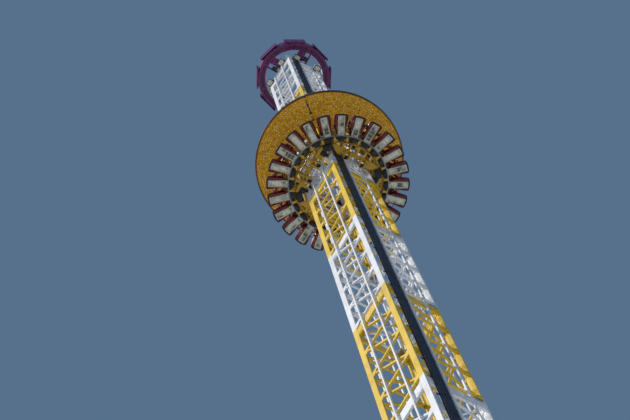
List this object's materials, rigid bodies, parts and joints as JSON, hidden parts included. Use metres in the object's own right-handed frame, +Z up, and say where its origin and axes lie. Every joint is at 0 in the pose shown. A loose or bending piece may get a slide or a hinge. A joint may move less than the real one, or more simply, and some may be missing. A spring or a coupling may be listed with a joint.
{
  "type": "drop tower ride, 1:10 scale model",
  "caption": "Scale model of a fairground drop tower: lattice mast on outriggers, turning ring of outward seats under a round canopy, ring-shaped crown.",
  "frame": {"origin": "centre of the base plate's underside, on the mast's axis at ground level", "axes": "+Z up the mast; X and Y square to the mast's faces; the cable duct is on the face that looks along -Y"},
  "size_m": [1.06, 1.06, 7.874],
  "materials": {
    "paint_white": "gloss",
    "paint_yellow": "gloss",
    "paint_gold": "gloss",
    "paint_purple": "gloss",
    "paint_cream": "satin",
    "duct_navy": "satin",
    "paint_charcoal": "satin",
    "steel_grey": "satin",
    "roller_black": "matte",
    "seat_red": "gloss",
    "seat_white": "satin",
    "restraint_black": "matte",
    "canopy_gold": "gloss",
    "canopy_rim_red": "gloss"
  },
  "bodies": {
    "tower": {"base_plate": "steel_grey", "outriggers": "paint_yellow", "outrigger_feet": "steel_grey", "base_gussets": "paint_yellow", "base_pedestal": "paint_white", "pedestal_cap": "paint_white", "columns_white": "paint_white", "columns_yellow": "paint_yellow", "lattice_01": "paint_white", "lattice_02": "paint_yellow", "lattice_03": "paint_white", "lattice_04": "paint_yellow", "lattice_05": "paint_white", "lattice_06": "paint_yellow", "lattice_07": "paint_white", "lattice_08": "paint_yellow", "lattice_09": "paint_white", "lattice_10": "paint_yellow", "lattice_11": "paint_white", "guide_rails": "paint_white", "cable_duct": "duct_navy", "head_frame": "paint_white", "sheave_boxes": "paint_cream", "crown_ring": "paint_purple", "crown_spokes": "paint_purple", "crown_panels": "paint_purple", "crown_rod": "paint_white"},
    "carriage": {"carriage_lower_frame": "paint_gold", "carriage_upper_frame": "paint_gold", "carriage_posts": "paint_gold", "race_arms": "paint_gold", "roller_brackets": "paint_gold", "carriage_rollers": "roller_black", "bearing_races": "paint_gold", "bearing_pads": "roller_black"},
    "gondola": {"ring_beam": "paint_gold", "seat_ring": "paint_charcoal", "latch_boxes": "roller_black", "seat_base_plates": "seat_white", "seat_pans": "seat_red", "seat_backs": "seat_red", "seat_bolsters": "seat_red", "restraint_arms": "restraint_black", "restraint_pads": "restraint_black", "canopy_posts": "paint_yellow", "canopy_ring": "paint_yellow", "canopy_ribs": "paint_yellow", "canopy_disc": "canopy_gold", "canopy_rim": "canopy_rim_red"}
  },
  "joints": [
    {"name": "gondola_lift", "type": "slide", "parent": "tower", "child": "carriage", "axis": [0, 0, 1], "range_m": [-5.54, 1.6]},
    {"name": "gondola_turn", "type": "hinge", "parent": "carriage", "child": "gondola", "pos_m": [0, 0, 5.8], "axis": [0, 0, 1], "continuous": true}
  ]
}
